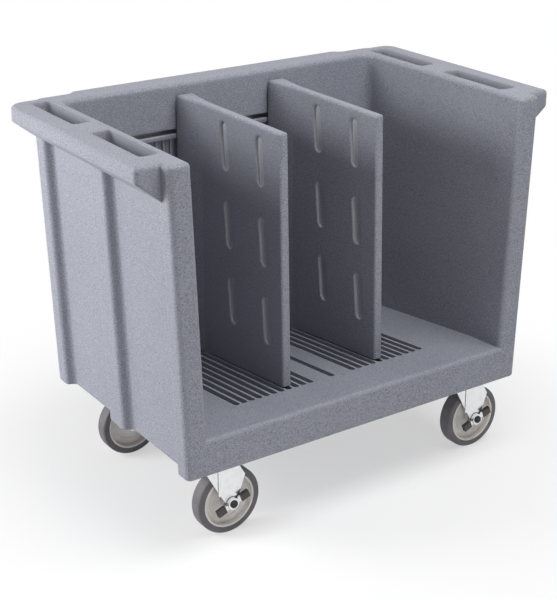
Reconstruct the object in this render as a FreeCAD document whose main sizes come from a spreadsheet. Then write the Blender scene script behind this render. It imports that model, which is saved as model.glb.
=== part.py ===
import FreeCAD
import Part
import Sketcher
import math
import os
import re

Vector = FreeCAD.Vector

# Driving dimensions in millimetres. Y is measured from the middle of the depth, Z from the floor.
sizes = {
    "overall_length": 1036, "overall_depth": 610, "overall_height": 850,
    "lip_reach": 52.5, "end_lean": 27.5, "base_height": 189, "end_wall": 52,
    "back_wall": 58, "rear_rim_reach": 14, "rear_rim_inset": 110.5, "rear_rim_face": 30, "rim_corner": 16,
    "core_tuck": 23, "sill_height": 270, "sill_depth": 100, "floor_front_height": 264,
    "floor_rear_height": 215,
    "panel_recess": 20, "post_depth": 40, "rib_width": 60, "rib_ramp": 9, "post_ramp": 16,
    "rear_corner": 34, "post_corner": 12, "rib_corner": 11, "cavity_corner": 24,
    "rim_round": 9, "base_round": 6, "sill_round": 10,
    "lip_nose": 32, "lip_height": 76, "lip_front": 28, "lip_rear": 6, "lip_tuck": 30,
    "nose_round": 9, "lip_corner": 34,
    "pocket_width": 44, "pocket_bridge": 70, "pocket_front_margin": 57, "pocket_rear_margin": 27,
    "pocket_inset": 43, "pocket_depth": 32, "pocket_corner": 12,
    "groove_pitch": 19.05, "groove_width": 14.3, "groove_depth": 11, "groove_front": 110,
    "back_recess": 7, "back_groove_depth": 14, "groove_stop": 16,
    "slot_drop": 110, "slot_width": 12, "floor_slot_inset": 76,
    "divider_thickness": 21, "divider_flare": 42, "divider_flare_length": 86, "divider_drop": 24,
    "divider_front_low": 122, "divider_front_high": 136, "divider_rear_gap": 8, "divider_floor_gap": 4,
    "divider_round": 5, "recess_width": 26, "recess_length": 108, "recess_depth": 7, "recess_edge": 2.5,
    "recess_lean": 13, "recess_foot": 86, "recess_margin": 10, "recess_rear_place": 318,
    "recess_column_gap": 136,
    "stud_diameter": 8, "stud_bury": 40, "clamp_width": 54, "clamp_height": 46, "clamp_thickness": 3,
    "knob_diameter": 40, "knob_height": 10, "knob_grip_diameter": 12, "knob_grip_circle": 46,
    "slide_clearance": 0.3,
    "caster_inset": 100, "caster_front": 79, "caster_rear": 99, "caster_trail": 36,
    "wheel_diameter": 150, "tyre_width": 32, "tyre_seat": 132, "tyre_round": 7,
    "hub_rim_wall": 5, "hub_width": 29, "hub_web": 8, "hub_ring": 3,
    "hub_boss_diameter": 34, "hub_boss_width": 37,
    "bush_diameter": 20, "bush_length": 40, "axle_diameter": 12, "running_clearance": 0.05,
    "plate_length": 104, "plate_width": 92, "plate_thickness": 4, "plate_corner": 10, "bolt_spread_long": 80,
    "bolt_spread_wide": 68, "race_diameter": 62, "race_height": 7, "washer_height": 3, "pin_diameter": 16,
    "pin_head_diameter": 28, "pin_head_height": 5,
    "fork_gap": 42, "fork_sheet": 3.5, "fork_bend": 2.5, "fork_back": 34, "fork_shoulder_reach": 70,
    "fork_shoulder_height": 132, "fork_crown_front": 46, "fork_boss": 14,
    "crease_width": 5, "crease_height": 1.5, "crease_low": 100, "crease_drop": 9, "crease_place": 6,
    "crease_root": 1,
    "lever_thickness": 5, "lever_arm": 38, "lever_width": 13, "lever_neck": 8, "lever_neck_place": 12,
    "lever_hub_diameter": 26, "lever_tilt": 21,
    "grip_length": 21, "grip_width": 16, "grip_thickness": 9, "grip_wall": 3,
    "head_diameter": 17, "head_height": 6, "head_crown": 8, "head_edge": 2,
    "nut_width": 18, "nut_height": 9, "bolt_diameter": 8, "bolt_bury": 18, "bolt_head_width": 13,
    "bolt_head_height": 5, "over": 10,
}
first_groove = 3
last_groove = 13
left_index = -6
right_index = 7
scallops = 6
hexagon_sides = 6
recess_columns = 2
recess_rows = 3

# How far, in millimetres, an edge may lie from where it is looked for, and how short counts as no length.
match_slack = 0.6
thin = 1

# Places worked out from the driving dimensions.
derived = {
    "front": "-overall_depth / 2",
    "body_rear": "overall_depth / 2 - rear_rim_reach",
    "inner_rear": "body_rear - back_wall",
    "rise": "overall_height - base_height",
    "flare": "end_lean / rise",
    "half_top": "overall_length / 2 - lip_reach",
    "half_base": "half_top - end_lean",
    "core_half": "half_base - core_tuck",
    "lip_low": "overall_height - lip_height",
    "wall_at_lip": "half_base + flare * (lip_low - base_height)",
    "floor_start": "front + sill_depth",
    "floor_run": "inner_rear - floor_start",
    "floor_slope": "(floor_front_height - floor_rear_height) / floor_run",
    "rib_front": "(front + body_rear - rib_width) / 2",
    "rib_rear": "(front + body_rear + rib_width) / 2",
    "rear_rib": "body_rear - rib_width",
    "recess_plane": "half_base - panel_recess",
    "pocket_outer": "overall_length / 2 - pocket_inset",
    "pocket_inner": "pocket_outer - pocket_width",
    "lip_start": "front + lip_front",
    "lip_end": "body_rear - lip_rear",
    "pocket_start": "lip_start + pocket_front_margin",
    "pocket_length": "(lip_end - pocket_rear_margin - pocket_start - pocket_bridge) / 2",
    "pocket_middle": "pocket_start + pocket_length + pocket_bridge / 2",
    "slot_height": "overall_height - slot_drop",
    "back_groove_top": "slot_height - groove_stop",
    "floor_slot": "inner_rear - floor_slot_inset",
    "divider_top": "overall_height - divider_drop",
    "recess_low": "sill_height + recess_foot",
    "recess_pitch": "(divider_top - recess_margin - recess_length - recess_low) / %d" % (recess_rows - 1),
    "caster_half": "half_base - caster_inset",
    "wheel_radius": "wheel_diameter / 2",
    "plate_under": "base_height - plate_thickness",
    "race_under": "plate_under - race_height",
    "crown_top": "race_under - washer_height",
    "crown_under": "crown_top - fork_sheet",
    "fork_outer": "fork_gap / 2 + fork_sheet",
    "divider_rear": "inner_rear - divider_rear_gap",
}

doc = FreeCAD.newDocument("dish_cart")
sheet = doc.addObject("Spreadsheet::Sheet", "dims")
for row, (alias, size) in enumerate(sizes.items(), start=1):
    cell = "A" + str(row)
    sheet.set(cell, str(size))
    sheet.setAlias(cell, alias)
doc.recompute()

nodes = []


def formula(text):
    def word(match):
        name = match.group(0)
        if name in derived:
            return "(" + formula(derived[name]) + ")"
        if name in sizes:
            return "dims." + name
        return name
    return re.sub(r"[a-z][a-z_]*", word, str(text))


def value(text):
    found = sheet.evalExpression(formula(text))
    return float(getattr(found, "Value", found))


def plane(body, role):
    return [feature for feature in body.Origin.OriginFeatures if feature.Role == role][0]


def new_body(label, place=None, turn=None):
    body = doc.addObject("PartDesign::Body", label)
    body.Label = label
    nodes.append(body)
    if turn:
        body.Placement = FreeCAD.Placement(Vector(), FreeCAD.Rotation(Vector(0, 1, 0), value(turn)))
        body.setExpression("Placement.Rotation.Angle", formula(turn))
    for axis, text in (place or {}).items():
        body.setExpression("Placement.Base." + axis, formula(text))
    return body


def new_sketch(body, role, name, lift=None, tilt=None):
    sketch = body.newObject("Sketcher::SketchObject", name)
    sketch.AttachmentSupport = [(plane(body, role), "")]
    sketch.MapMode = "FlatFace"
    if tilt:
        sketch.AttachmentOffset = FreeCAD.Placement(Vector(), FreeCAD.Rotation(Vector(1, 0, 0), value(tilt)))
        sketch.setExpression("AttachmentOffset.Rotation.Angle", formula(tilt))
    for axis, text in (lift or {}).items():
        sketch.setExpression("AttachmentOffset." + axis, formula(text))
    return sketch


def hold(sketch, geometry, position, point):
    for kind, text in zip(("DistanceX", "DistanceY"), point):
        index = sketch.addConstraint(Sketcher.Constraint(kind, -1, 1, geometry, position, value(text)))
        sketch.setExpression("Constraints[%d]" % index, formula(text))


def polygon(sketch, points):
    first = sketch.GeometryCount
    count = len(points)
    corners = [Vector(value(x), value(y), 0) for x, y in points]
    for step in range(count):
        sketch.addGeometry(Part.LineSegment(corners[step], corners[(step + 1) % count]), False)
    for step in range(count):
        following = first + (step + 1) % count
        sketch.addConstraint(Sketcher.Constraint("Coincident", first + step, 2, following, 1))
    for step, point in enumerate(points):
        hold(sketch, first + step, 1, point)


# A closed outline with a radius at each corner: the corner points are held, and tangent arcs trim the sides.
def rounded_outline(sketch, points, radii):
    count = len(points)
    corners = [Vector(value(x), value(y), 0) for x, y in points]
    starts = []
    ends = []
    for step, corner in enumerate(corners):
        back = (corners[step - 1] - corner).normalize()
        ahead = (corners[(step + 1) % count] - corner).normalize()
        run = value(radii[step]) / math.tan(back.getAngle(ahead) / 2)
        ends.append(corner + back * run)
        starts.append(corner + ahead * run)
    spans = [(starts[step], ends[(step + 1) % count]) for step in range(count)]
    sides = [sketch.addGeometry(Part.LineSegment(*span)) for span in spans]
    for step, corner in enumerate(corners):
        middle = (starts[step] + ends[step]) / 2
        outward = (corner - middle).normalize()
        reach = value(radii[step])
        centre = corner - outward * math.hypot((ends[step] - corner).Length, reach)
        turn_left = (ends[step] - centre).cross(starts[step] - centre).z > 0
        first, last = (1, 2) if turn_left else (2, 1)
        span = (ends[step], starts[step]) if turn_left else (starts[step], ends[step])
        ring = Part.Circle(centre, Vector(0, 0, 1), reach)
        index = sketch.addGeometry(Part.ArcOfCircle(ring, ring.parameter(span[0]), ring.parameter(span[1])))
        sketch.addConstraint(Sketcher.Constraint("Tangent", sides[step - 1], 2, index, first))
        sketch.addConstraint(Sketcher.Constraint("Tangent", index, last, sides[step], 1))
        constraint = sketch.addConstraint(Sketcher.Constraint("Radius", index, reach))
        sketch.setExpression("Constraints[%d]" % constraint, formula(radii[step]))
        spot = sketch.addGeometry(Part.Point(corner), True)
        hold(sketch, spot, 1, points[step])
        for side in (sides[step - 1], sides[step]):
            sketch.addConstraint(Sketcher.Constraint("PointOnObject", spot, 1, side))


signs = (("-1", "-1"), ("1", "-1"), ("1", "1"), ("-1", "1"))


def rectangle(centre, half_width, half_height):
    return [("%s + (%s) * %s" % (centre[0], a, half_width), "%s + (%s) * %s" % (centre[1], b, half_height))
            for a, b in signs]


def around(centre, reach, count):
    angles = [2 * math.pi * turn / count for turn in range(count)]
    return [("%s + %s * %.9f" % (centre[0], reach, math.cos(angle)),
             "%s + %s * %.9f" % (centre[1], reach, math.sin(angle))) for angle in angles]


def circle(sketch, centre, radius):
    middle = Vector(value(centre[0]), value(centre[1]), 0)
    index = sketch.addGeometry(Part.Circle(middle, Vector(0, 0, 1), value(radius)), False)
    hold(sketch, index, 3, centre)
    constraint = sketch.addConstraint(Sketcher.Constraint("Radius", index, value(radius)))
    sketch.setExpression("Constraints[%d]" % constraint, formula(radius))


def obround(sketch, start, finish, radius):
    a = Vector(value(start[0]), value(start[1]), 0)
    b = Vector(value(finish[0]), value(finish[1]), 0)
    size = value(radius)
    heading = math.atan2(b.y - a.y, b.x - a.x)
    side = Vector(-math.sin(heading), math.cos(heading), 0) * size
    quarter = math.pi / 2
    up = Vector(0, 0, 1)
    ring = Part.Circle(a, up, size)
    start_arc = sketch.addGeometry(Part.ArcOfCircle(ring, heading + quarter, heading + 3 * quarter))
    right = sketch.addGeometry(Part.LineSegment(a - side, b - side))
    ring = Part.Circle(b, up, size)
    end_arc = sketch.addGeometry(Part.ArcOfCircle(ring, heading - quarter, heading + quarter))
    left = sketch.addGeometry(Part.LineSegment(b + side, a + side))
    for one, other in ((start_arc, right), (right, end_arc), (end_arc, left), (left, start_arc)):
        sketch.addConstraint(Sketcher.Constraint("Tangent", one, 2, other, 1))
    sketch.addConstraint(Sketcher.Constraint("Equal", start_arc, end_arc))
    constraint = sketch.addConstraint(Sketcher.Constraint("Radius", start_arc, size))
    sketch.setExpression("Constraints[%d]" % constraint, formula(radius))
    hold(sketch, start_arc, 3, start)
    hold(sketch, end_arc, 3, finish)


def feature(body, kind, name, sketch, length, side="One side", reverse=False):
    made = body.newObject("PartDesign::" + kind, name)
    made.Profile = sketch
    made.SideType = side
    made.Reversed = reverse
    if length == "through":
        made.Type = "ThroughAll"
    else:
        made.setExpression("Length", formula(length))
    doc.recompute()
    return made


def pad(body, name, sketch, length, **options):
    return feature(body, "Pad", name, sketch, length, **options)


def pocket(body, name, sketch, length, **options):
    before = body.Tip.Shape.Volume
    made = feature(body, "Pocket", name, sketch, length, **options)
    if made.Shape.Volume >= before:
        raise RuntimeError(name + " cuts nothing")
    return made


def revolve(body, name, sketch):
    made = body.newObject("PartDesign::Revolution", name)
    made.Profile = sketch
    made.ReferenceAxis = (sketch, ["V_Axis"])
    made.Angle = 360
    doc.recompute()
    return made


def repeated(body, name, originals, length, count):
    made = body.newObject("PartDesign::LinearPattern", name)
    made.Originals = originals
    made.Direction = (plane(body, "X_Axis"), [""])
    made.setExpression("Length", formula(length))
    made.Occurrences = count
    body.Tip = made
    doc.recompute()
    return made


def round_edges(body, name, radius, choose):
    base = body.Tip
    chosen = ["Edge%d" % (n + 1) for n, edge in enumerate(base.Shape.Edges) if choose(edge)]
    if not chosen:
        raise RuntimeError(name + " finds no edge")
    made = body.newObject("PartDesign::Fillet", name)
    made.Base = (base, chosen)
    made.setExpression("Radius", formula(radius))
    doc.recompute()
    if "Invalid" in made.State:
        raise RuntimeError(name + " fails on %d edges" % len(chosen))
    return made


def near(one, other):
    return abs(one - other) < match_slack


def level_at(*heights):
    levels = [value(height) for height in heights]

    def choose(edge):
        box = edge.BoundBox
        return any(near(box.ZMin, level) and near(box.ZMax, level) for level in levels)
    return choose


def along_x_at(y, z):
    def choose(edge):
        box = edge.BoundBox
        flat = box.YLength < thin and box.ZLength < thin
        return flat and near(box.YMin, value(y)) and near(box.ZMin, value(z))
    return choose


# The moulded body: a floor and back wall profile, two drafted ends with posts and ribs, and two handle lips.
def make_cart_body():
    body = new_body("cart_body")
    core = new_sketch(body, "YZ_Plane", "floor_and_back_profile")
    polygon(core, [("front", "base_height"), ("front", "sill_height"), ("floor_start", "floor_front_height"),
                   ("inner_rear", "floor_rear_height"), ("inner_rear", "overall_height"),
                   ("body_rear", "overall_height"), ("body_rear", "base_height")])
    pad(body, "floor_and_back", core, "core_half * 2", side="Symmetric")
    round_edges(body, "sill_edge", "sill_round", along_x_at("front", "sill_height"))
    inner = "half_base - end_wall"
    buried = "half_base - end_wall * 2 - cavity_corner"
    plan = [(inner, "front", "post_corner"), ("half_base", "front", "post_corner"),
            ("half_base", "front + post_depth", "rib_corner"),
            ("recess_plane", "front + post_depth + post_ramp", "rib_corner"),
            ("recess_plane", "rib_front - rib_ramp", "rib_corner"), ("half_base", "rib_front", "rib_corner"),
            ("half_base", "rib_rear", "rib_corner"), ("recess_plane", "rib_rear + rib_ramp", "rib_corner"),
            ("recess_plane", "rear_rib - rib_ramp", "rib_corner"), ("half_base", "rear_rib", "rib_corner"),
            ("half_base", "body_rear", "rear_corner"), (buried, "body_rear", "rib_corner"),
            (buried, "inner_rear", "rib_corner"), (inner, "inner_rear", "cavity_corner")]
    for side, sign in (("left", "-1"), ("right", "1")):
        sketch = new_sketch(body, "XY_Plane", side + "_end_plan", {"Base.z": "base_height"})
        rounded_outline(sketch, [("(%s) * (%s)" % (sign, x), y) for x, y, radius in plan],
                        [radius for x, y, radius in plan])
        end = pad(body, side + "_end", sketch, "rise")
        end.UseCustomVector = True
        end.AlongSketchNormal = True
        end.Direction = Vector(float(sign) * value("flare"), 0, 1)
        end.setExpression("Direction.x", formula("(%s) * flare" % sign))
        doc.recompute()
    add_rear_rim(body)
    add_lips(body)
    round_edges(body, "top_rim", "rim_round", level_at("overall_height"))
    round_edges(body, "base_edge", "base_round", level_at("base_height"))
    add_hand_pockets(body)
    add_grooves(body)
    add_slots(body)
    add_bolt_holes(body)
    return body


def outermost(choose):
    reach = value("overall_length / 2")

    def test(edge):
        box = edge.BoundBox
        return near(max(abs(box.XMin), abs(box.XMax)), reach) and choose(box)
    return test


# Each lip is a bullnose shelf with a sloped underside.
def add_lips(body):
    for side, sign in (("left", "-1"), ("right", "1")):
        section = [("wall_at_lip", "lip_low"), ("overall_length / 2", "overall_height - lip_nose"),
                   ("overall_length / 2", "overall_height"), ("wall_at_lip - lip_tuck", "overall_height"),
                   ("wall_at_lip - lip_tuck", "lip_low")]
        sketch = new_sketch(body, "XZ_Plane", side + "_lip_section", {"Base.z": "-lip_start"})
        polygon(sketch, [("(%s) * (%s)" % (sign, x), z) for x, z in section])
        pad(body, side + "_lip", sketch, "lip_end - lip_start", reverse=True)
    rear = value("lip_end")
    round_edges(body, "lip_rear_corners", "lip_corner",
                outermost(lambda box: box.XLength < thin and box.YLength < thin and near(box.YMin, rear)))
    round_edges(body, "lip_front_corners", "nose_round",
                outermost(lambda box: box.XLength < thin and box.YLength < thin and not near(box.YMin, rear)))


# Two blind hand pockets are sunk in the top of each lip.
def add_hand_pockets(body):
    for side, sign in (("left", "-1"), ("right", "1")):
        sketch = new_sketch(body, "XY_Plane", side + "_hand_pockets", {"Base.z": "overall_height"})
        for direction in ("-1", "1"):
            near_end = "pocket_middle + (%s) * pocket_bridge / 2" % direction
            far_end = near_end + " + (%s) * pocket_length" % direction
            corners = [("pocket_inner", near_end), ("pocket_outer", near_end),
                       ("pocket_outer", far_end), ("pocket_inner", far_end)]
            polygon(sketch, [("(%s) * (%s)" % (sign, x), y) for x, y in corners])
        pocket(body, side + "_pockets", sketch, "pocket_depth")
    floor = value("overall_height - pocket_depth")

    def pocket_upright(edge):
        box = edge.BoundBox
        edges = (value("pocket_inner"), value("pocket_outer"))
        return box.XLength < thin and box.YLength < thin and near(box.ZMin, floor) \
            and any(near(abs(box.XMin), place) for place in edges)
    round_edges(body, "pocket_corners", "pocket_corner", pocket_upright)


# The rear rim stands out behind the back wall and steps back before the corners.
def add_rear_rim(body):
    sketch = new_sketch(body, "XY_Plane", "rear_rim_plan", {"Base.z": "overall_height - rear_rim_face"})
    half = "half_top - rear_rim_inset"
    foot = half + " + rear_rim_reach"
    rim = "body_rear + rear_rim_reach"
    root = "body_rear - back_wall / 2"
    polygon(sketch, [("-(%s)" % foot, root), (foot, root), (foot, "body_rear"), (half, rim),
                     ("-(%s)" % half, rim), ("-(%s)" % foot, "body_rear")])
    pad(body, "rear_rim", sketch, "rear_rim_face")
    spots = [(value(foot), value("body_rear")), (value(half), value(rim))]

    def step_corner(edge):
        box = edge.BoundBox
        upright = box.XLength < thin and box.YLength < thin
        return upright and any(near(abs(box.XMin), x) and near(box.YMin, y) for x, y in spots)
    round_edges(body, "rear_rim_corners", "rim_corner", step_corner)


# Grooves run down the sloping floor and up the back wall, on one pitch.
def add_grooves(body):
    groups = (("left", -last_groove, last_groove - first_groove + 1), ("centre", 0, 1),
              ("right", first_groove, last_groove - first_groove + 1))
    for group, index, count in groups:
        middle = "groove_pitch * (%d)" % index
        floor = new_sketch(body, "XY_Plane", group + "_floor_groove",
                           {"Base.y": "floor_start", "Base.z": "floor_front_height"}, "-atan(floor_slope)")
        obround(floor, (middle, "groove_front - sill_depth + groove_width / 2"), (middle, "floor_run"),
                "groove_width / 2")
        cuts = [pocket(body, group + "_floor_cut", floor, "groove_depth")]
        back = new_sketch(body, "XZ_Plane", group + "_back_groove", {"Base.z": "-inner_rear"})
        left = middle + " - groove_width / 2"
        right = middle + " + groove_width / 2"
        low = "floor_rear_height - groove_depth"
        polygon(back, [(left, low), (right, low), (right, "back_groove_top"), (left, "back_groove_top")])
        cuts.append(pocket(body, group + "_back_cut", back, "back_groove_depth"))
        if count > 1:
            repeated(body, group + "_grooves", cuts, "groove_pitch * %d" % (count - 1), count)


# Each group of grooves has a back slot and a floor slot for the divider studs, and a sunken field of ridges.
def add_slots(body):
    outer = "(groove_pitch * %d + groove_pitch / 2)" % last_groove
    inner = "(groove_pitch * %d - groove_pitch / 2)" % first_groove
    back = new_sketch(body, "XZ_Plane", "back_slots")
    floor = new_sketch(body, "XY_Plane", "floor_slots")
    field = new_sketch(body, "XZ_Plane", "ridge_fields", {"Base.z": "-inner_rear"})
    for sign in ("-1", "1"):
        near_end = "(%s) * (%s + slot_width / 2)" % (sign, inner)
        far_end = "(%s) * (%s - slot_width / 2)" % (sign, outer)
        obround(back, (near_end, "slot_height"), (far_end, "slot_height"), "slot_width / 2")
        obround(floor, (near_end, "floor_slot"), (far_end, "floor_slot"), "slot_width / 2")
        left = "(%s) * %s" % (sign, inner)
        right = "(%s) * %s" % (sign, outer)
        polygon(field, [(left, "floor_rear_height"), (right, "floor_rear_height"),
                        (right, "back_groove_top"), (left, "back_groove_top")])
    pocket(body, "ridge_field_cut", field, "back_recess")
    pocket(body, "back_slot_cut", back, "through")
    pocket(body, "floor_slot_cut", floor, "sill_height", reverse=True)


casters = {
    "front_left": ("-caster_half", "front + caster_front"),
    "front_right": ("caster_half", "front + caster_front"),
    "rear_left": ("-caster_half", "body_rear - caster_rear"),
    "rear_right": ("caster_half", "body_rear - caster_rear"),
}


def bolt_places():
    for centre in casters.values():
        yield from rectangle(centre, "bolt_spread_long / 2", "bolt_spread_wide / 2")


def add_bolt_holes(body):
    sketch = new_sketch(body, "XY_Plane", "bolt_holes", {"Base.z": "base_height"})
    for place in bolt_places():
        circle(sketch, place, "bolt_diameter / 2 + running_clearance")
    pocket(body, "bolt_hole_cut", sketch, "bolt_bury", reverse=True)


make_cart_body()


# A divider is a flat moulded panel that widens to a foot against the back wall, with rows of recesses.
def make_divider(side, index):
    body = new_body("divider_" + side, {"x": "groove_pitch * (%d)" % index})
    profile = new_sketch(body, "YZ_Plane", side + "_divider_profile")
    low = "floor_front_height + divider_floor_gap - floor_slope * (%s - sill_depth)"
    polygon(profile, [("front + divider_front_low", low % "divider_front_low"),
                      ("front + divider_front_high", "divider_top"), ("divider_rear", "divider_top"),
                      ("divider_rear", low % "(divider_rear - front)")])
    pad(body, side + "_divider_panel", profile, "divider_flare", side="Symmetric")
    relief = new_sketch(body, "XY_Plane", side + "_divider_relief")
    for sign in ("-1", "1"):
        outline = [("divider_thickness / 2", "front"), ("divider_flare / 2 + over", "front"),
                   ("divider_flare / 2 + over", "divider_rear"), ("divider_flare / 2", "divider_rear"),
                   ("divider_thickness / 2", "divider_rear - divider_flare_length")]
        polygon(relief, [("(%s) * (%s)" % (sign, x), y) for x, y in outline])
    pocket(body, side + "_divider_sides", relief, "overall_height", reverse=True)

    def outer_edge(edge):
        box = edge.BoundBox
        top = near(box.ZMin, value("divider_top"))
        tall = box.ZLength > value("divider_top / 2")
        return top or tall and box.YMax < value("front + divider_front_high + over")
    round_edges(body, side + "_divider_edges", "divider_round", outer_edge)
    for face, sign in (("left", "-1"), ("right", "1")):
        name = "%s_divider_%s_recess" % (side, face)
        recess = new_sketch(body, "YZ_Plane", name, {"Base.z": "(%s) * divider_thickness / 2" % sign})
        for column in range(recess_columns):
            for row in range(recess_rows):
                foot = "recess_low + recess_pitch * %d" % row
                place = "front + recess_rear_place - recess_column_gap * %d + recess_lean * %d" % (column, row)
                lean = "recess_lean * recess_length / recess_pitch"
                obround(recess, (place, foot), (place + " + " + lean, foot + " + recess_length - recess_width"),
                        "recess_width / 2")
        pocket(body, name + "_cut", recess, "recess_depth", reverse=face == "left")

    def recess_mouth(edge):
        box = edge.BoundBox
        inside = box.ZMax < value("divider_top - recess_margin / 2") and box.ZLength < value("recess_length")
        at_face = near(abs(box.XMin), value("divider_thickness / 2"))
        low = value("recess_low - recess_width")
        return inside and at_face and box.XLength < thin and box.ZMin > low
    round_edges(body, side + "_divider_recess_edges", "recess_edge", recess_mouth)
    stud = new_sketch(body, "XZ_Plane", side + "_stud_hole", {"Base.z": "-divider_rear"})
    circle(stud, ("0", "slot_height"), "stud_diameter / 2")
    pocket(body, side + "_back_stud_cut", stud, "stud_bury", reverse=True)
    foot = new_sketch(body, "XY_Plane", side + "_floor_stud_hole")
    circle(foot, ("0", "floor_slot"), "stud_diameter / 2")
    pocket(body, side + "_floor_stud_cut", foot, "floor_front_height + stud_bury", reverse=True)


# Each divider is held by a stud, a clamp plate and a hand knob behind the wall and again below the floor.
def make_clamp(label, x, role, centre, start, plate_start, knob_start, length):
    away = role == "XZ_Plane"

    def on_plane(body, name, level):
        return new_sketch(body, role, name, {"Base.z": "-(%s)" % level if away else level})
    stud = new_body(label + "_stud", {"x": x})
    sketch = on_plane(stud, label + "_stud_section", start)
    circle(sketch, centre, "stud_diameter / 2")
    pad(stud, label + "_stud_rod", sketch, length, reverse=away)
    plate = new_body(label + "_clamp_plate", {"x": x})
    sketch = on_plane(plate, label + "_plate_outline", plate_start)
    polygon(sketch, rectangle(centre, "clamp_width / 2", "clamp_height / 2"))
    circle(sketch, centre, "stud_diameter / 2")
    pad(plate, label + "_plate_sheet", sketch, "clamp_thickness", reverse=away)
    knob = new_body(label + "_knob", {"x": x})
    sketch = on_plane(knob, label + "_knob_outline", knob_start)
    circle(sketch, centre, "knob_diameter / 2")
    circle(sketch, centre, "stud_diameter / 2 + running_clearance")
    pad(knob, label + "_knob_disc", sketch, "knob_height", reverse=away)
    grips = on_plane(knob, label + "_knob_scallops", knob_start)
    for spot in around(centre, "knob_grip_circle / 2", scallops):
        circle(grips, spot, "knob_grip_diameter / 2")
    pocket(knob, label + "_knob_grip", grips, "knob_height", reverse=not away)


def make_clamps(side, index):
    x = "groove_pitch * (%d)" % index
    back_face = "body_rear + slide_clearance"
    back_start = "divider_rear - stud_bury"
    make_clamp("divider_%s_back" % side, x, "XZ_Plane", ("0", "slot_height"), back_start, back_face,
               back_face + " + clamp_thickness", "body_rear + rear_rim_reach - (%s)" % back_start)
    plate_under_face = "base_height - slide_clearance - clamp_thickness"
    knob_under_face = plate_under_face + " - knob_height"
    make_clamp("divider_%s_floor" % side, x, "XY_Plane", ("0", "floor_slot"), knob_under_face,
               plate_under_face, knob_under_face, "floor_front_height + stud_bury - (%s)" % knob_under_face)


for side, index in (("left", left_index), ("right", right_index)):
    make_divider(side, index)
    make_clamps(side, index)


# A turned piece about the axle: sections are radius and distance along the axle.
def turned(label, place, section):
    body = new_body(label, place)
    sketch = new_sketch(body, "XY_Plane", label + "_section")
    polygon(sketch, section)
    revolve(body, label + "_turned", sketch)
    return body


def make_wheel(name, place):
    near_side = "-tyre_width / 2"
    far_side = "tyre_width / 2"
    tyre = turned(name + "_tyre", place, [("tyre_seat / 2", near_side), ("wheel_radius", near_side),
                                          ("wheel_radius", far_side), ("tyre_seat / 2", far_side)])
    round_edges(tyre, name + "_tyre_shoulders", "tyre_round",
                lambda edge: near(edge.BoundBox.XMax, value("wheel_radius")))
    rim = "tyre_seat / 2 - hub_rim_wall"
    half = [("bush_diameter / 2", "hub_boss_width / 2"), ("hub_boss_diameter / 2", "hub_boss_width / 2"),
            ("hub_boss_diameter / 2", "hub_web / 2 + hub_ring"), (rim, "hub_web / 2"), (rim, "hub_width / 2"),
            ("tyre_seat / 2", "hub_width / 2")]
    other = [(r, "-(%s)" % along) for r, along in reversed(half)]
    turned(name + "_hub", place, half + other)
    bore = "axle_diameter / 2 + running_clearance"
    turned(name + "_bush", place, [(bore, "-bush_length / 2"), ("bush_diameter / 2", "-bush_length / 2"),
                                   ("bush_diameter / 2", "bush_length / 2"), (bore, "bush_length / 2")])


def make_axle(name, place, braked):
    seat = "-(fork_outer + grip_thickness + slide_clearance * 2)" if braked else "-fork_outer"
    shank = "axle_diameter / 2"
    bolt = turned(name + "_axle_bolt", place,
                  [("0", seat + " - head_height"), ("head_crown / 2", seat + " - head_height"),
                   ("head_diameter / 2", seat + " - head_edge"), ("head_diameter / 2", seat), (shank, seat),
                   (shank, "fork_outer + nut_height + running_clearance"),
                   ("0", "fork_outer + nut_height + running_clearance")])
    nut = new_body(name + "_axle_nut", place)
    sketch = new_sketch(nut, "XZ_Plane", name + "_nut_outline", {"Base.z": "-fork_outer"})
    polygon(sketch, around(("0", "0"), "nut_width / sqrt(3)", hexagon_sides))
    circle(sketch, ("0", "0"), shank)
    pad(nut, name + "_nut_block", sketch, "nut_height", reverse=True)
    return bolt


def make_fork(name, place):
    body = new_body(name + "_fork", place)
    crown = new_sketch(body, "XY_Plane", name + "_crown", {"Base.z": "crown_under"})
    polygon(crown, [("-fork_back", "-fork_outer"), ("fork_crown_front", "-fork_outer"),
                    ("fork_crown_front", "fork_outer"), ("-fork_back", "fork_outer")])
    circle(crown, ("0", "0"), "pin_diameter / 2 + running_clearance")
    pad(body, name + "_crown_plate", crown, "fork_sheet")
    outline = [("-fork_back", "crown_top"), ("caster_trail - fork_boss", "wheel_radius"),
               ("caster_trail + fork_boss", "wheel_radius"), ("fork_shoulder_reach", "fork_shoulder_height"),
               ("fork_crown_front", "crown_top")]
    for side, start in (("front", "fork_outer"), ("rear", "-fork_gap / 2")):
        leg = new_sketch(body, "XZ_Plane", "%s_%s_leg" % (name, side), {"Base.z": start})
        polygon(leg, outline)
        pad(body, "%s_%s_leg_sheet" % (name, side), leg, "fork_sheet", reverse=True)
        eye = new_sketch(body, "XZ_Plane", "%s_%s_eye" % (name, side), {"Base.z": start})
        circle(eye, ("caster_trail", "wheel_radius"), "fork_boss")
        pad(body, "%s_%s_eye_sheet" % (name, side), eye, "fork_sheet", reverse=True)
    crease = new_sketch(body, "XZ_Plane", name + "_crease", {"Base.z": "fork_outer - crease_root"})
    obround(crease, ("crease_place", "crease_low"), ("crease_place", "crown_top - crease_drop"),
            "crease_width / 2")
    pad(body, name + "_crease_rib", crease, "crease_height + crease_root")
    hole = new_sketch(body, "XZ_Plane", name + "_axle_hole", {"Base.z": "fork_outer"})
    circle(hole, ("caster_trail", "wheel_radius"), "axle_diameter / 2")
    pocket(body, name + "_axle_bore", hole, "fork_outer * 2")

    def bend(edge):
        box = edge.BoundBox
        return box.XLength > value("fork_back") and near(box.ZMin, value("crown_top")) and \
            near(abs(box.YMin), value("fork_outer"))
    round_edges(body, name + "_fork_bends", "fork_bend", bend)


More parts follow.
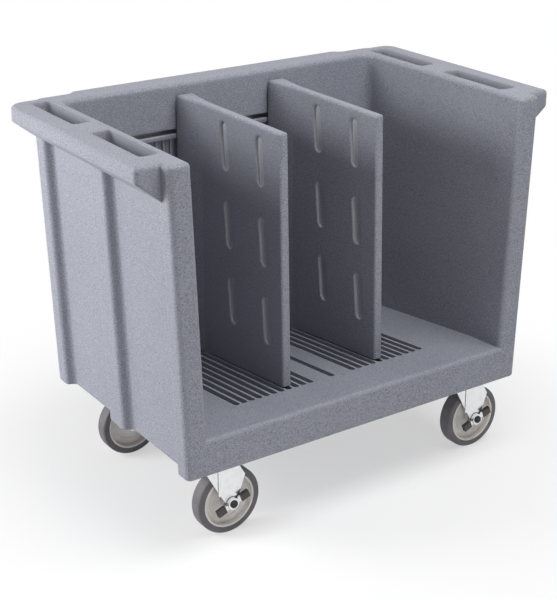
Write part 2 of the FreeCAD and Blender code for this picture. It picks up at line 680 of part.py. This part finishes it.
def make_mounting(name, place):
    plate = new_body(name + "_caster_plate", place)
    outline = new_sketch(plate, "XY_Plane", name + "_plate_outline", {"Base.z": "plate_under"})
    polygon(outline, rectangle(("0", "0"), "plate_length / 2", "plate_width / 2"))
    for spot in rectangle(("0", "0"), "bolt_spread_long / 2", "bolt_spread_wide / 2"):
        circle(outline, spot, "bolt_diameter / 2 + running_clearance")
    circle(outline, ("0", "0"), "pin_diameter / 2")
    pad(plate, name + "_plate_sheet", outline, "plate_thickness")
    race = new_sketch(plate, "XY_Plane", name + "_race_outline", {"Base.z": "race_under"})
    circle(race, ("0", "0"), "race_diameter / 2")
    circle(race, ("0", "0"), "pin_diameter / 2")
    pad(plate, name + "_race", race, "race_height")
    round_edges(plate, name + "_plate_corners", "plate_corner",
                lambda edge: edge.BoundBox.XLength < thin and edge.BoundBox.YLength < thin
                and near(abs(edge.BoundBox.XMin), value("plate_length / 2")))
    washer = new_body(name + "_thrust_washer", place)
    ring = new_sketch(washer, "XY_Plane", name + "_washer_outline", {"Base.z": "crown_top"})
    circle(ring, ("0", "0"), "race_diameter / 2")
    circle(ring, ("0", "0"), "pin_diameter / 2 + running_clearance")
    pad(washer, name + "_washer_ring", ring, "washer_height")
    pin = new_body(name + "_king_pin", place)
    shank = new_sketch(pin, "XZ_Plane", name + "_pin_section")
    head = "crown_under - slide_clearance"
    polygon(shank, [("0", "base_height"), ("pin_diameter / 2", "base_height"), ("pin_diameter / 2", head),
                    ("pin_head_diameter / 2", head), ("pin_head_diameter / 2", head + " - pin_head_height"),
                    ("0", head + " - pin_head_height")])
    revolve(pin, name + "_pin_turned", shank)


def make_brake(name, place):
    face = "fork_outer + slide_clearance"
    bar_face = face + " + (grip_thickness - lever_thickness) / 2"
    lever = new_body(name + "_brake_lever", place, "-lever_tilt")
    hub = new_sketch(lever, "XZ_Plane", name + "_lever_hub", {"Base.z": face})
    circle(hub, ("0", "0"), "lever_hub_diameter / 2")
    pad(lever, name + "_lever_disc", hub, "grip_thickness")
    arm = new_sketch(lever, "XZ_Plane", name + "_lever_arm", {"Base.z": bar_face})
    root = "lever_arm + grip_wall - grip_length"
    half = [("-lever_arm", "lever_width / 2"), ("-(%s)" % root, "lever_width / 2"),
            ("-lever_neck_place", "lever_neck / 2"), ("lever_neck_place", "lever_neck / 2"),
            (root, "lever_width / 2"), ("lever_arm", "lever_width / 2")]
    polygon(arm, half + [(x, "-" + z) for x, z in reversed(half)])
    pad(lever, name + "_lever_bar", arm, "lever_thickness")
    bore = new_sketch(lever, "XZ_Plane", name + "_lever_bore", {"Base.z": face})
    circle(bore, ("0", "0"), "axle_diameter / 2 + running_clearance")
    pocket(lever, name + "_lever_eye", bore, "grip_thickness", reverse=True)
    for end, sign in (("toe", "1"), ("heel", "-1")):
        label = "%s_brake_%s_grip" % (name, end)
        grip = new_body(label, place, "-lever_tilt")
        outline = new_sketch(grip, "XZ_Plane", label + "_outline", {"Base.z": face})
        tip = "(%s) * (lever_arm + grip_wall)" % sign
        root = "(%s) * (lever_arm + grip_wall - grip_length)" % sign
        polygon(outline, [(root, "-grip_width / 2"), (tip, "-grip_width / 2"),
                          (tip, "grip_width / 2"), (root, "grip_width / 2")])
        pad(grip, label + "_block", outline, "grip_thickness")
        slot = new_sketch(grip, "XZ_Plane", label + "_slot", {"Base.z": bar_face})
        end_face = "(%s) * lever_arm" % sign
        polygon(slot, [(root, "-lever_width / 2"), (end_face, "-lever_width / 2"),
                       (end_face, "lever_width / 2"), (root, "lever_width / 2")])
        pocket(grip, label + "_socket", slot, "lever_thickness", reverse=True)


for name, (x, y) in casters.items():
    axle = {"x": x + " + caster_trail", "y": y, "z": "wheel_radius"}
    make_mounting(name, {"x": x, "y": y})
    make_fork(name, {"x": x, "y": y})
    make_wheel(name, axle)
    make_axle(name, axle, name.startswith("front"))
    if name.startswith("front"):
        make_brake(name, axle)


# One hexagon bolt, set in each hole of the four mounting plates.
def make_caster_bolts():
    places = around(("0", "0"), "bolt_head_width / sqrt(3)", hexagon_sides)
    corners = [Vector(value(x), value(y), 0) for x, y in places]
    head = Part.Face(Part.makePolygon(corners + corners[:1])).extrude(Vector(0, 0, value("bolt_head_height")))
    length = value("bolt_head_height + plate_thickness + bolt_bury")
    bolt = head.fuse(Part.makeCylinder(value("bolt_diameter / 2"), length)).removeSplitter()
    level = value("plate_under - bolt_head_height")
    bolts = doc.addObject("Part::Feature", "caster_bolts")
    bolts.Label = "caster_bolts"
    spots = [Vector(value(x), value(y), level) for x, y in bolt_places()]
    bolts.Shape = Part.makeCompound([bolt.translated(spot) for spot in spots])
    nodes.append(bolts)


make_caster_bolts()
doc.recompute()

for thing in doc.Objects:
    if "Invalid" in thing.State or "Error" in thing.State:
        raise RuntimeError(thing.Name + " failed")
for node in nodes:
    if node.Shape.isNull() or not node.Shape.isValid():
        raise RuntimeError(node.Label + " has no valid shape")
os.makedirs("parts", exist_ok=True)
for node in nodes:
    node.Shape.exportStep("parts/" + node.Label + ".step")
print(len(nodes), "nodes")
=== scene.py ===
import math

import bmesh
import bpy
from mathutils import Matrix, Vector


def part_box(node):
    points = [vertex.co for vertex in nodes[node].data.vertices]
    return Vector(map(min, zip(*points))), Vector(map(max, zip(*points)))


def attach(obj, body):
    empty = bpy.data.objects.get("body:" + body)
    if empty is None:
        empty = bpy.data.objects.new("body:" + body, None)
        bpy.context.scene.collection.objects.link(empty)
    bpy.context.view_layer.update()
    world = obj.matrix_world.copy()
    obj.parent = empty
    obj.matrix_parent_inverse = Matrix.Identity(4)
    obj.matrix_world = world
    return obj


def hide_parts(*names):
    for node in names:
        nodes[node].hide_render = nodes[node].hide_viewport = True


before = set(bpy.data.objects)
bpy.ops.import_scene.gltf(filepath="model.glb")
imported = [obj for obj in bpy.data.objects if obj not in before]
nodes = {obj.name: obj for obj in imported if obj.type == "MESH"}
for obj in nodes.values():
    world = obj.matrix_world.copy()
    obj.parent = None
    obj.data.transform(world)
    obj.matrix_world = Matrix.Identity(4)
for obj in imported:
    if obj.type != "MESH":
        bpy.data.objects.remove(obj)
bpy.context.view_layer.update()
print("frame loaded:", len(nodes), "nodes")

casterNames = ("front_left", "front_right", "rear_left", "rear_right")
brakedNames = ("front_left", "front_right")
dividerNames = ("divider_left", "divider_right")


# small helpers for building node trees
def newFinish(name):
    material = bpy.data.materials.new(name)
    material.use_nodes = True
    tree = material.node_tree
    shader = tree.nodes["Principled BSDF"]
    place = tree.nodes.new("ShaderNodeTexCoord")
    return material, tree, shader, place.outputs["Object"]


def setSocket(tree, socket, given):
    if isinstance(given, bpy.types.NodeSocket):
        tree.links.new(given, socket)
    else:
        socket.default_value = given


def addNode(tree, kind, settings=None, inputs=None):
    made = tree.nodes.new("ShaderNode" + kind)
    for key, given in (settings or {}).items():
        setattr(made, key, given)
    for key, given in (inputs or {}).items():
        setSocket(tree, made.inputs[key], given)
    return made


def addNoise(tree, place, scale, detail, roughness=0.5):
    inputs = {"Vector": place, "Scale": scale, "Detail": detail, "Roughness": roughness}
    return addNode(tree, "TexNoise", inputs=inputs).outputs["Fac"]


def addRamp(tree, value, low, high, fromValue=0.0, toValue=1.0):
    inputs = {"Value": value, "From Min": low, "From Max": high, "To Min": fromValue, "To Max": toValue}
    return addNode(tree, "MapRange", {"interpolation_type": "SMOOTHSTEP"}, inputs).outputs["Result"]


def addMath(tree, operation, *values):
    return addNode(tree, "Math", {"operation": operation}, dict(enumerate(values))).outputs["Value"]


def blendColour(tree, factor, first, second):
    made = addNode(tree, "Mix", {"data_type": "RGBA"})
    for key, given in (("Factor", factor), ("A", first), ("B", second)):
        setSocket(tree, made.inputs[key], given)
    return made.outputs["Result"]


def addBump(tree, height, strength, distance, normal=None):
    made = addNode(tree, "Bump", inputs={"Height": height, "Strength": strength, "Distance": distance})
    if normal is not None:
        tree.links.new(normal, made.inputs["Normal"])
    return made.outputs["Normal"]


def addSoftEdge(tree, samples, radius):
    return addNode(tree, "Bevel", {"samples": samples}, {"Radius": radius}).outputs["Normal"]


# how open the surface is within a reach: low in hollows, or on edges when it looks inside
def addOcclusion(tree, reach, samples=8, inside=False, local=True):
    settings = {"samples": samples, "inside": inside, "only_local": local}
    return addNode(tree, "AmbientOcclusion", settings, {"Distance": reach}).outputs["AO"]


# what the camera and reflections see directly
def addSeen(tree):
    rays = addNode(tree, "LightPath").outputs
    return addMath(tree, "MAXIMUM", rays["Is Camera Ray"], rays["Is Glossy Ray"])


def paint(names, material):
    for name in names:
        node = nodes[name]
        node.data.materials.clear()
        node.data.materials.append(material)


# granite grey moulding: fine pale and dark specks in a soft blue grey, with a light orange peel
# noises are scale, detail and roughness, bumps are strength and depth
# ranges are the limits of a ramp, then the values at them
granite = {
    "body": (0.235, 0.242, 0.288, 1), "pale": (0.41, 0.42, 0.475, 1), "dark": (0.118, 0.122, 0.15, 1),
    # edge is a painted highlight laid along the convex edges
    # inner is painted light, laid in the hand pockets and the divider recesses
    "edge": (0.55, 0.56, 0.62, 1), "inner": (0.56, 0.56, 0.59, 1),
    "cloudNoise": (5.5, 3), "cloudRange": (0.3, 0.7, 0.0, 0.12),
    "fineNoise": (680, 1.5, 0.6), "fineRange": (0.50, 0.66, 0.0, 0.9),
    "coarseNoise": (408, 1.5, 0.6), "coarseRange": (0.48, 0.33, 0.0, 0.75),
    "edgeHighlightReach": 0.003, "edgeHighlightRange": (0.9, 0.5, 0.0, 0.6),
    "roughRange": (0.25, 0.75, 0.46, 0.57), "specular": 0.34,
    "waveNoise": (26, 1), "waveBump": (0.10, 0.004), "peelNoise": (240, 2), "peelBump": (0.10, 0.0006),
}
# how far edges are softened in the shading: more at the lips, little at the grooved floor
softening = {"samples": 6, "usual": 0.005, "lip": 0.011, "lipFoot": 0.772, "lipBlur": 0.001,
             "floor": 0.0012, "floorTop": 0.285, "floorBlur": 0.005}
# painted light in the divider recesses: how hollow a place must be to be painted paler
recessPaintedLight = {"reach": 0.018, "range": (0.99, 0.80, 0.0, 0.65)}
# painted light in the hand pockets: both pockets of a lip lie between these corners, measured out from the
# middle of the cart
pocketPaintedLight = {"low": (0.430, -0.226, 0.812), "high": (0.477, 0.263, 0.8494), "blur": 0.0008, "share": 0.2}


# painted light: the recesses of a divider are painted paler than its face, the more so where they are more
# hollow
def findRecessPaintedLight(tree, place):
    return addRamp(tree, addOcclusion(tree, recessPaintedLight["reach"]), *recessPaintedLight["range"])


# painted light: the insides of the hand pockets are painted a little paler than the lip
def findPocketPaintedLight(tree, place):
    parts = addNode(tree, "SeparateXYZ", inputs={0: place}).outputs
    across = addMath(tree, "ABSOLUTE", parts["X"])
    blur, share = pocketPaintedLight["blur"], pocketPaintedLight["share"]
    for value, low, high in zip((across, parts["Y"], parts["Z"]), pocketPaintedLight["low"], pocketPaintedLight["high"]):
        share = addMath(tree, "MULTIPLY", share, addRamp(tree, value, low - blur, low + blur))
        share = addMath(tree, "MULTIPLY", share, addRamp(tree, value, high + blur, high - blur))
    return share


def softenEdges(tree, place):
    height = addNode(tree, "SeparateXYZ", inputs={0: place}).outputs["Z"]
    foot, lipBlur = softening["lipFoot"], softening["lipBlur"]
    top, floorBlur = softening["floorTop"], softening["floorBlur"]
    upper = addRamp(tree, height, foot - lipBlur, foot + lipBlur, softening["usual"], softening["lip"])
    lower = addRamp(tree, height, top - floorBlur, top + floorBlur, softening["floor"], softening["lip"])
    return addSoftEdge(tree, softening["samples"], addMath(tree, "MINIMUM", upper, lower))


def makeGranite(name, findPaintedLight):
    material, tree, shader, place = newFinish(name)
    cloud = addNoise(tree, place, *granite["cloudNoise"])
    fine = addNoise(tree, place, *granite["fineNoise"])
    coarse = addNoise(tree, place, *granite["coarseNoise"])
    tone = blendColour(tree, addRamp(tree, cloud, *granite["cloudRange"]), granite["body"], granite["pale"])
    tone = blendColour(tree, addRamp(tree, fine, *granite["fineRange"]), tone, granite["pale"])
    tone = blendColour(tree, addRamp(tree, coarse, *granite["coarseRange"]), tone, granite["dark"])
    # painted highlight: the convex edges are painted paler
    edge = addOcclusion(tree, granite["edgeHighlightReach"], inside=True)
    tone = blendColour(tree, addRamp(tree, edge, *granite["edgeHighlightRange"]), tone, granite["edge"])
    # painted light: the hollows that the finder marks are painted paler
    tone = blendColour(tree, findPaintedLight(tree, place), tone, granite["inner"])
    tree.links.new(tone, shader.inputs["Base Color"])
    tree.links.new(addRamp(tree, cloud, *granite["roughRange"]), shader.inputs["Roughness"])
    shader.inputs["Specular IOR Level"].default_value = granite["specular"]
    wave = addNoise(tree, place, *granite["waveNoise"])
    peel = addNoise(tree, place, *granite["peelNoise"])
    normal = addBump(tree, wave, *granite["waveBump"], softenEdges(tree, place))
    tree.links.new(addBump(tree, peel, *granite["peelBump"], normal), shader.inputs["Normal"])
    return material


paint(("cart_body",), makeGranite("graniteMoulding", findPocketPaintedLight))
paint(dividerNames, makeGranite("graniteDivider", findRecessPaintedLight))
print("moulding painted")

# bright zinc on the pressed caster parts, with painted shade in the crevices and where other parts come
# close
zinc = {"colour": (0.80, 0.81, 0.82, 1), "second": (0.68, 0.69, 0.71, 1), "paintedShade": (0.09, 0.088, 0.085, 1),
        "cloudNoise": (60, 4), "toneRange": (0.40, 0.70, 0.0, 0.35), "creviceReach": 0.006,
        "creviceRange": (0.82, 0.45, 0.0, 0.9), "metallic": 1.0, "roughRange": (0.3, 0.75, 0.15, 0.26),
        "grainNoise": (900, 2), "bump": (0.05, 0.0003)}
# plain machined steel on bolts, studs and pins
steel = {"colour": (0.52, 0.52, 0.51, 1), "second": (0.33, 0.32, 0.31, 1), "cloudNoise": (120, 3),
         "toneRange": (0.38, 0.72), "metallic": 1.0, "roughRange": (0.3, 0.75, 0.28, 0.48),
         "grainNoise": (1500, 1), "bump": (0.08, 0.0003)}
# black oxide on the axle bolts
oxide = {"colour": (0.028, 0.027, 0.026, 1), "second": (0.11, 0.105, 0.10, 1), "cloudNoise": (260, 4),
         "toneRange": (0.52, 0.78), "metallic": 0.6, "roughness": 0.38, "bump": (0.1, 0.0004)}
# dark grey tyre rubber with a dusty bloom
rubber = {"colour": (0.114, 0.106, 0.115, 1), "second": (0.16, 0.150, 0.160, 1), "cloudNoise": (45, 4),
          "toneRange": (0.35, 0.75), "fleckRange": (0.55, 0.75, 0.0, 0.35),
          "roughRange": (0.3, 0.7, 0.50, 0.66), "grainNoise": (700, 3), "bump": (0.14, 0.0004)}
# warm grey nylon of the wheel hubs
nylon = {"colour": (0.80, 0.765, 0.725, 1), "second": (0.68, 0.65, 0.61, 1), "cloudNoise": (38, 3),
         "toneRange": (0.35, 0.75), "roughRange": (0.3, 0.7, 0.32, 0.46), "softEdge": (4, 0.0012),
         "grainNoise": (600, 2), "bump": (0.08, 0.0003)}
# the same nylon, polished on the hub bead and painted a little paler there as a painted highlight
polishAndHighlight = {"colour": (0.82, 0.80, 0.77, 1), "second": (0.70, 0.68, 0.65, 1), "cloudNoise": (70, 3),
          "toneRange": (0.45, 0.75), "roughRange": (0.3, 0.7, 0.18, 0.32), "bump": (0.05, 0.0004)}
# black moulded plastic of knobs and bushes
blackPlastic = {"colour": (0.022, 0.022, 0.023, 1), "second": (0.075, 0.075, 0.078, 1),
                "cloudNoise": (90, 4), "toneRange": (0.55, 0.8), "roughRange": (0.3, 0.7, 0.40, 0.58),
                "grainNoise": (800, 2), "bump": (0.16, 0.0005)}


# a finish of two blended tones with a fine grain
def makeFinish(name, look):
    material, tree, shader, place = newFinish(name)
    cloud = addNoise(tree, place, *look["cloudNoise"])
    grain = addNoise(tree, place, *look["grainNoise"]) if "grainNoise" in look else cloud
    tone = blendColour(tree, addRamp(tree, cloud, *look["toneRange"]), look["colour"], look["second"])
    if "fleckRange" in look:
        tone = blendColour(tree, addRamp(tree, grain, *look["fleckRange"]), tone, look["second"])
    # painted shade: darker in crevices and where other parts come close
    if "paintedShade" in look:
        crevice = addOcclusion(tree, look["creviceReach"], local=False)
        tone = blendColour(tree, addRamp(tree, crevice, *look["creviceRange"]), tone, look["paintedShade"])
    tree.links.new(tone, shader.inputs["Base Color"])
    shader.inputs["Metallic"].default_value = look.get("metallic", 0.0)
    if "roughRange" in look:
        tree.links.new(addRamp(tree, cloud, *look["roughRange"]), shader.inputs["Roughness"])
    else:
        shader.inputs["Roughness"].default_value = look["roughness"]
    normal = addSoftEdge(tree, *look["softEdge"]) if "softEdge" in look else None
    tree.links.new(addBump(tree, grain, *look["bump"], normal), shader.inputs["Normal"])
    return material


# knurled rubber of the brake grips: two sets of ribs that cross, with their crests painted paler as a
# painted highlight
knurl = {"colour": (0.045, 0.042, 0.039, 1), "crestHighlight": (0.12, 0.115, 0.108, 1), "turns": (24, -66),
         "ribScale": 90, "distortion": 0.4, "crestRange": (0.1, 0.7), "roughness": 0.55,
         "bump": (0.8, 0.0012)}


def makeKnurl():
    material, tree, shader, place = newFinish("knurledRubber")
    ribs = []
    for turn in knurl["turns"]:
        turned = addNode(tree, "Mapping", inputs={"Vector": place, "Rotation": (0, math.radians(turn), 0)})
        inputs = {"Vector": turned.outputs["Vector"], "Scale": knurl["ribScale"],
                  "Distortion": knurl["distortion"]}
        wave = addNode(tree, "TexWave", {"bands_direction": "X"}, inputs)
        ribs.append(wave.outputs["Fac"])
    crossed = addMath(tree, "MULTIPLY", *ribs)
    # painted highlight: the crests are painted paler than the grooves
    tone = blendColour(tree, addRamp(tree, crossed, *knurl["crestRange"]), knurl["colour"], knurl["crestHighlight"])
    tree.links.new(tone, shader.inputs["Base Color"])
    shader.inputs["Roughness"].default_value = knurl["roughness"]
    tree.links.new(addBump(tree, crossed, *knurl["bump"]), shader.inputs["Normal"])
    return material


def named(starts, *ends):
    return [start + end for start in starts for end in ends]


zincFinish = makeFinish("brightZinc", zinc)
steelFinish = makeFinish("plainSteel", steel)
oxideFinish = makeFinish("blackOxide", oxide)
rubberFinish = makeFinish("tyreRubber", rubber)
nylonFinish = makeFinish("warmNylon", nylon)
beadFinish = makeFinish("polishedNylonHighlight", polishAndHighlight)
blackFinish = makeFinish("blackPlastic", blackPlastic)
clampNames = named(dividerNames, "_back", "_floor")
paint(named(casterNames, "_caster_plate", "_fork"), zincFinish)
paint(named(brakedNames, "_brake_lever") + named(clampNames, "_clamp_plate"), zincFinish)
paint(named(casterNames, "_king_pin", "_axle_nut") + ["caster_bolts"], steelFinish)
paint(named(clampNames, "_stud"), steelFinish)
paint(named(casterNames, "_axle_bolt"), oxideFinish)
paint(named(casterNames, "_tyre"), rubberFinish)
paint(named(casterNames, "_hub", "_thrust_washer"), nylonFinish)
paint(named(casterNames, "_bush") + named(clampNames, "_knob"), blackFinish)
paint(named(brakedNames, "_brake_toe_grip", "_brake_heel_grip"), makeKnurl())
print("casters and clamps painted")

# how finely the rings of a wheel are made
ringDetail = {"roundSegments": 5, "spinSteps": 120, "sharpAngle": 35}


# a ring of rounded rectangular section about the axle: radii and half widths in metres
def spinRing(shape, inner, outer, half, rounding, innerHalf=None):
    middle = (outer + inner) / 2
    grid = bmesh.ops.create_grid(shape, x_segments=1, y_segments=1, size=1.0)["verts"]
    bmesh.ops.scale(shape, vec=((outer - inner) / 2, half, 1), verts=grid)
    bmesh.ops.translate(shape, vec=(middle, 0, 0), verts=grid)
    if innerHalf:
        innerSide = [vert for vert in grid if vert.co.x < middle]
        bmesh.ops.scale(shape, vec=(1, innerHalf / half, 1), verts=innerSide)
    faces = {face for vert in grid for face in vert.link_faces}
    if rounding:
        corners = [vert for vert in grid if vert.co.x > middle]
        bmesh.ops.bevel(shape, geom=corners, offset=rounding, offset_type="WIDTH", affect="VERTICES",
                        segments=ringDetail["roundSegments"], profile=0.5, material=-1)
        # only the rounded section has more than four corners
        faces = {face for face in shape.faces if len(face.verts) > 4}
    section = list({vert for face in faces for vert in face.verts})
    edges = list({edge for face in faces for edge in face.edges})
    bmesh.ops.delete(shape, geom=list(faces), context="FACES_ONLY")
    bmesh.ops.spin(shape, geom=section + edges, axis=(0, 1, 0), cent=(0, 0, 0), dvec=(0, 0, 0),
                   angle=math.tau, steps=ringDetail["spinSteps"], use_merge=True)


def finishRing(shape, name, middle, material, body):
    bmesh.ops.translate(shape, vec=middle, verts=shape.verts)
    bmesh.ops.recalc_face_normals(shape, faces=shape.faces)
    for face in shape.faces:
        face.smooth = True
    mesh = bpy.data.meshes.new(name)
    shape.to_mesh(mesh)
    shape.free()
    mesh.set_sharp_from_angle(angle=math.radians(ringDetail["sharpAngle"]))
    made = bpy.data.objects.new(name, mesh)
    bpy.context.scene.collection.objects.link(made)
    mesh.materials.append(material)
    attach(made, body)
    return made


# tyre with a full sidewall, and a dished hub with a bead at its mouth
tyreForm = {"inner": 0.0608, "outer": 0.0750, "half": 0.0160, "shoulder": 0.0065}
hubForm = {"rimInner": 0.0560, "rimOuter": 0.0609, "rimHalf": 0.0152, "rimRound": 0.0012,
           "webHalf": 0.0042, "webBossHalf": 0.0075,
           "bossInner": 0.0100, "bossOuter": 0.0172, "bossHalf": 0.0185, "bossRound": 0.0016,
           "stepInner": 0.0400, "stepOuter": 0.0425, "stepHalf": 0.0066, "stepRound": 0.0008}
beadForm = {"inner": 0.0578, "outer": 0.0607, "half": 0.0158, "round": 0.0010}


def makeWheel(name):
    low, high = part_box(name + "_hub")
    middle = (Vector(low) + Vector(high)) / 2
    body = name + "_wheel"
    shape = bmesh.new()
    spinRing(shape, tyreForm["inner"], tyreForm["outer"], tyreForm["half"], tyreForm["shoulder"])
    tyre = finishRing(shape, name + "_tyre_skin", middle, rubberFinish, body)
    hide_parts(name + "_tyre")
    shape = bmesh.new()
    spinRing(shape, hubForm["rimInner"], hubForm["rimOuter"], hubForm["rimHalf"], hubForm["rimRound"])
    spinRing(shape, hubForm["bossOuter"], hubForm["rimInner"], hubForm["webHalf"], 0, hubForm["webBossHalf"])
    spinRing(shape, hubForm["stepInner"], hubForm["stepOuter"], hubForm["stepHalf"], hubForm["stepRound"])
    spinRing(shape, hubForm["bossInner"], hubForm["bossOuter"], hubForm["bossHalf"], hubForm["bossRound"])
    hub = finishRing(shape, name + "_hub_skin", middle, nylonFinish, body)
    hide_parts(name + "_hub")
    shape = bmesh.new()
    spinRing(shape, beadForm["inner"], beadForm["outer"], beadForm["half"], beadForm["round"])
    finishRing(shape, name + "_hub_bead", middle, beadFinish, body)


for name in casterNames:
    makeWheel(name)
print("wheels dressed")

# pale studio floor, which fades to white away from the cart
floorLook = {"size": 9.0, "colour": (0.90, 0.90, 0.91, 1), "roughness": 0.9, "specular": 0.1,
             "glow": 1.0, "fadeStart": 0.40, "fadeEnd": 1.10, "leastWhite": 0.52}
white = (1, 1, 1, 1)


def makeFloor():
    mesh = bpy.data.meshes.new("studioFloor")
    shape = bmesh.new()
    bmesh.ops.create_grid(shape, x_segments=1, y_segments=1, size=floorLook["size"])
    shape.to_mesh(mesh)
    shape.free()
    floor = bpy.data.objects.new("studioFloor", mesh)
    bpy.context.scene.collection.objects.link(floor)
    material, tree, shader, place = newFinish("paleFloor")
    shader.inputs["Base Color"].default_value = floorLook["colour"]
    shader.inputs["Roughness"].default_value = floorLook["roughness"]
    shader.inputs["Specular IOR Level"].default_value = floorLook["specular"]
    glow = addNode(tree, "Emission", inputs={"Color": white, "Strength": floorLook["glow"]})
    away = addNode(tree, "VectorMath", {"operation": "LENGTH"}, {0: place}).outputs["Value"]
    fade = addRamp(tree, away, floorLook["fadeStart"], floorLook["fadeEnd"], floorLook["leastWhite"])
    share = addMath(tree, "MULTIPLY", addSeen(tree), fade)
    inputs = {0: share, 1: shader.outputs["BSDF"], 2: glow.outputs["Emission"]}
    mixed = addNode(tree, "MixShader", inputs=inputs)
    tree.links.new(mixed.outputs["Shader"], tree.nodes["Material Output"].inputs["Surface"])
    mesh.materials.append(material)


makeFloor()

# soft studio light: two boxes off the left end, one overhead and a weak fill in front
lamps = {
    "leftBox": {"place": (-2.1, 1.05, 0.62), "aim": (-0.45, -0.05, 0.55), "size": (1.3, 1.1), "power": 21},
    "sideBox": {"place": (-2.3, 0.95, 1.65), "aim": (0.1, 0.0, 0.7), "size": (1.2, 0.8), "power": 40},
    "topBox": {"place": (0.35, -1.0, 3.1), "aim": (0.0, 0.1, 0.7), "size": (1.8, 1.6), "power": 70},
    "frontBox": {"place": (-0.25, -3.3, 1.2), "aim": (0.0, 0.0, 0.5), "size": (1.4, 1.2), "power": 9},
}


# an object that looks along a heading
def addAimed(name, data, place, heading):
    made = bpy.data.objects.new(name, data)
    made.location = place
    made.rotation_mode = "QUATERNION"
    made.rotation_quaternion = heading.to_track_quat("-Z", "Y")
    bpy.context.scene.collection.objects.link(made)
    return made


def makeLamps():
    for name, spec in lamps.items():
        data = bpy.data.lights.new(name, "AREA")
        data.shape = "RECTANGLE"
        data.size, data.size_y = spec["size"]
        data.energy = spec["power"]
        addAimed(name, data, spec["place"], Vector(spec["aim"]) - Vector(spec["place"]))


makeLamps()

# a dim room that the camera and reflections see as white
room = {"ambient": 0.18, "seen": 1.0}


def makeRoom():
    world = bpy.data.worlds.new("studioRoom")
    world.use_nodes = True
    tree = world.node_tree
    tree.nodes.clear()
    out = addNode(tree, "OutputWorld")
    dim = addNode(tree, "Background", inputs={"Color": white, "Strength": room["ambient"]})
    bright = addNode(tree, "Background", inputs={"Color": white, "Strength": room["seen"]})
    inputs = {0: addSeen(tree), 1: dim.outputs["Background"], 2: bright.outputs["Background"]}
    mixed = addNode(tree, "MixShader", inputs=inputs)
    tree.links.new(mixed.outputs["Shader"], out.inputs["Surface"])
    bpy.context.scene.world = world


makeRoom()
bpy.context.scene.view_settings.view_transform = "Standard"
print("studio ready")

# camera at the photograph's corner, above the rim
cameraLook = {"place": (-1.69614, -2.46220, 1.61940), "yaw": -0.59985, "pitch": -0.34511,
              "sensorWidth": 36.0, "focalPixels": 1425.3, "imageHeight": 600, "shiftPixels": -70}


def makeCamera():
    data = bpy.data.cameras.new("studioCamera")
    data.sensor_width = cameraLook["sensorWidth"]
    data.lens = cameraLook["focalPixels"] / cameraLook["imageHeight"] * data.sensor_width
    data.shift_y = cameraLook["shiftPixels"] / cameraLook["imageHeight"]
    yaw, pitch = cameraLook["yaw"], cameraLook["pitch"]
    heading = Vector((-math.sin(yaw) * math.cos(pitch), math.cos(yaw) * math.cos(pitch), math.sin(pitch)))
    bpy.context.scene.camera = addAimed("studioCamera", data, cameraLook["place"], heading)


makeCamera()
